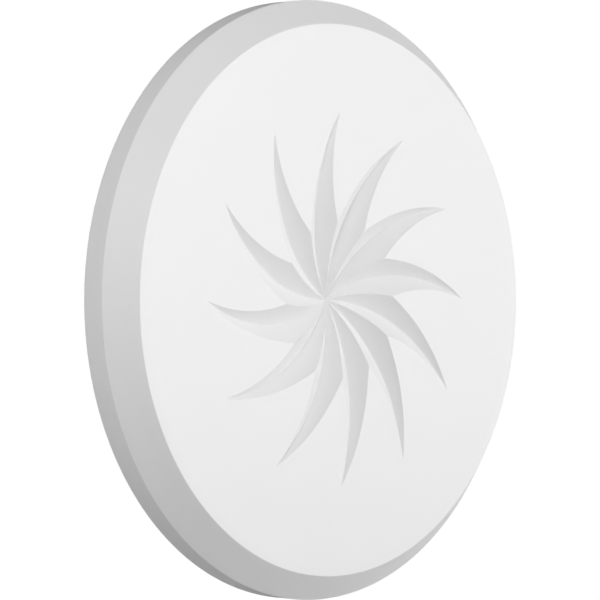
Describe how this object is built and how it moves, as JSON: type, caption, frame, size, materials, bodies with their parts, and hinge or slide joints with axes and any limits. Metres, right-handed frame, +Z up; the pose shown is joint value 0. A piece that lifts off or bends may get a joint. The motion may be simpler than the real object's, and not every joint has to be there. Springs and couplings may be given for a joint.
{
  "type": "ceiling air diffuser",
  "caption": "Round closed-face ceiling diffuser: a bevelled white plaque with a blind petal relief turns on a threaded spindle in front of a flanged duct spigot with a damper.",
  "frame": {"origin": "on the duct's axis, in the plane of the ceiling's room-side surface, which the gasket's back face meets", "axes": "+Y along the axis into the duct, so the face looks along -Y into the room; +Z up, with one petal tip pointing up, as the part stands upright. For a ceiling, turn it about X so that -Y points down."},
  "size_m": [0.3048, 0.1522, 0.3048],
  "materials": {
    "white_moulding": "fine satin moulded white",
    "white_sheet": "white powder coat",
    "cover_steel": "white powder coat",
    "grey_foam": "closed-cell foam",
    "seal_foam": "soft closed-cell foam",
    "black_rubber": "matt",
    "brass_bush": "turned",
    "zinc_screws": "zinc plated",
    "zinc_steel": "zinc plated",
    "galvanised_steel": "galvanised, faint spangle",
    "spring_steel": "drawn spring steel",
    "aluminium_rivets": "satin",
    "white_nylon": "natural nylon"
  },
  "bodies": {
    "frame": {"diffuser_body": "white_sheet", "ceiling_gasket": "seal_foam", "duct_seal": "black_rubber", "support_bridge": "galvanised_steel", "bridge_rivets": "aluminium_rivets", "spindle": "zinc_steel", "spindle_lock_nuts": "zinc_steel", "spindle_washers": "zinc_steel", "anti_rattle_spring": "spring_steel", "clip_bracket_1": "galvanised_steel", "clip_bracket_2": "galvanised_steel", "clip_bracket_3": "galvanised_steel", "clip_spring_1": "spring_steel", "clip_spring_2": "spring_steel", "clip_spring_3": "spring_steel", "clip_rivets": "aluminium_rivets", "clip_pins": "zinc_steel", "damper_rod": "zinc_steel", "damper_bushes": "white_nylon", "damper_rod_clips": "spring_steel"},
    "thrust_cup": {"thrust_cup": "white_nylon"},
    "plaque": {"plaque_face": "white_moulding", "plaque_back_cover": "cover_steel", "plaque_insulation": "grey_foam", "cover_screws": "zinc_screws", "spindle_nut": "brass_bush", "hub_screws": "zinc_screws", "closing_seal": "seal_foam"},
    "clip_arm_1": {"clip_arm_1": "spring_steel", "clip_pad_1": "black_rubber"},
    "clip_arm_2": {"clip_arm_2": "spring_steel", "clip_pad_2": "black_rubber"},
    "clip_arm_3": {"clip_arm_3": "spring_steel", "clip_pad_3": "black_rubber"},
    "damper_left": {"damper_flap_left": "galvanised_steel"},
    "damper_right": {"damper_flap_right": "galvanised_steel"}
  },
  "joints": [
    {"name": "plaque_travel", "type": "slide", "parent": "frame", "child": "thrust_cup", "axis": [0, 1, 0], "range_m": [-0.009, 0.009], "deforming": ["anti_rattle_spring"]},
    {"name": "plaque_turn", "type": "hinge", "parent": "thrust_cup", "child": "plaque", "pos_m": [0, -0.01, 0], "axis": [0, 1, 0], "range_deg": [-1080, 1080]},
    {"name": "clip_1_swing", "type": "hinge", "parent": "frame", "child": "clip_arm_1", "pos_m": [0.1012, 0.009, 0], "axis": [0, 0, 1], "range_deg": [0, 85], "stiffness_Nm_per_rad": 0.05, "springref_deg": -34.38, "deforming": ["clip_spring_1"]},
    {"name": "clip_2_swing", "type": "hinge", "parent": "frame", "child": "clip_arm_2", "pos_m": [-0.0506, 0.009, 0.08764], "axis": [-0.866, 0, -0.5], "range_deg": [0, 85], "stiffness_Nm_per_rad": 0.05, "springref_deg": -34.38, "deforming": ["clip_spring_2"]},
    {"name": "clip_3_swing", "type": "hinge", "parent": "frame", "child": "clip_arm_3", "pos_m": [-0.0506, 0.009, -0.08764], "axis": [0.866, 0, -0.5], "range_deg": [0, 85], "stiffness_Nm_per_rad": 0.05, "springref_deg": -34.38, "deforming": ["clip_spring_3"]},
    {"name": "damper_left_swing", "type": "hinge", "parent": "frame", "child": "damper_left", "pos_m": [0, 0.04, 0], "axis": [0, 0, 1], "range_deg": [0, 85]},
    {"name": "damper_right_swing", "type": "hinge", "parent": "frame", "child": "damper_right", "pos_m": [0, 0.04, 0], "axis": [0, 0, -1], "range_deg": [0, 85]}
  ],
  "couplings": [
    {"joint": "plaque_travel", "follows": "plaque_turn", "m_per_rad": 0.00047746}
  ]
}
